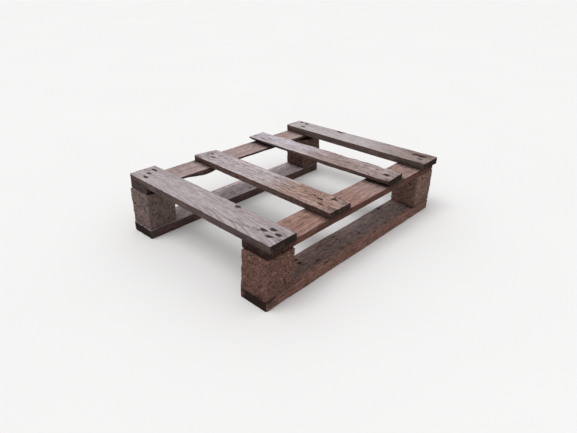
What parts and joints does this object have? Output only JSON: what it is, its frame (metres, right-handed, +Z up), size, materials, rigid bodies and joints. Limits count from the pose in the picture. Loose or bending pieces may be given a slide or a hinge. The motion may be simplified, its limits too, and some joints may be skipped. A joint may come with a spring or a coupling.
{
  "type": "wooden pallet",
  "caption": "Small used wooden pallet: deck boards on two stringers, pressed chipboard corner blocks and two bottom boards, open to forks from the ends and the sides.",
  "frame": {"origin": "on the floor, under the middle of the pallet", "axes": "+Z up; +Y along the stringers and bottom boards, towards the back; +X along the deck boards, towards the right"},
  "size_m": [0.6102, 0.804, 0.1874],
  "materials": {
    "deck_wood": "weathered rough-sawn softwood, silver grey with brown patches",
    "stringer_wood": "rough-sawn softwood, tan to red-brown, sheltered from the weather",
    "runner_wood": "dirty dark grey-brown softwood with red-brown edges",
    "block_chipboard": "coarse pressed wood chips, matte and crumbly",
    "nail_steel": "dark rusted steel"
  },
  "bodies": {
    "root": {"deck_board_front": "deck_wood", "deck_board_second": "deck_wood", "deck_board_third": "deck_wood", "deck_board_back": "deck_wood", "stringer_left": "stringer_wood", "stringer_right": "stringer_wood", "block_front_left": "block_chipboard", "block_front_right": "block_chipboard", "block_back_left": "block_chipboard", "block_back_right": "block_chipboard", "runner_left": "runner_wood", "runner_right": "runner_wood", "deck_nails_front_left": "nail_steel", "deck_nails_front_right": "nail_steel", "deck_nails_second_left": "nail_steel", "deck_nails_second_right": "nail_steel", "deck_nails_third_left": "nail_steel", "deck_nails_third_right": "nail_steel", "deck_nails_back_left": "nail_steel", "deck_nails_back_right": "nail_steel", "runner_nails_front_left": "nail_steel", "runner_nails_front_right": "nail_steel", "runner_nails_back_left": "nail_steel", "runner_nails_back_right": "nail_steel"}
  },
  "joints": []
}
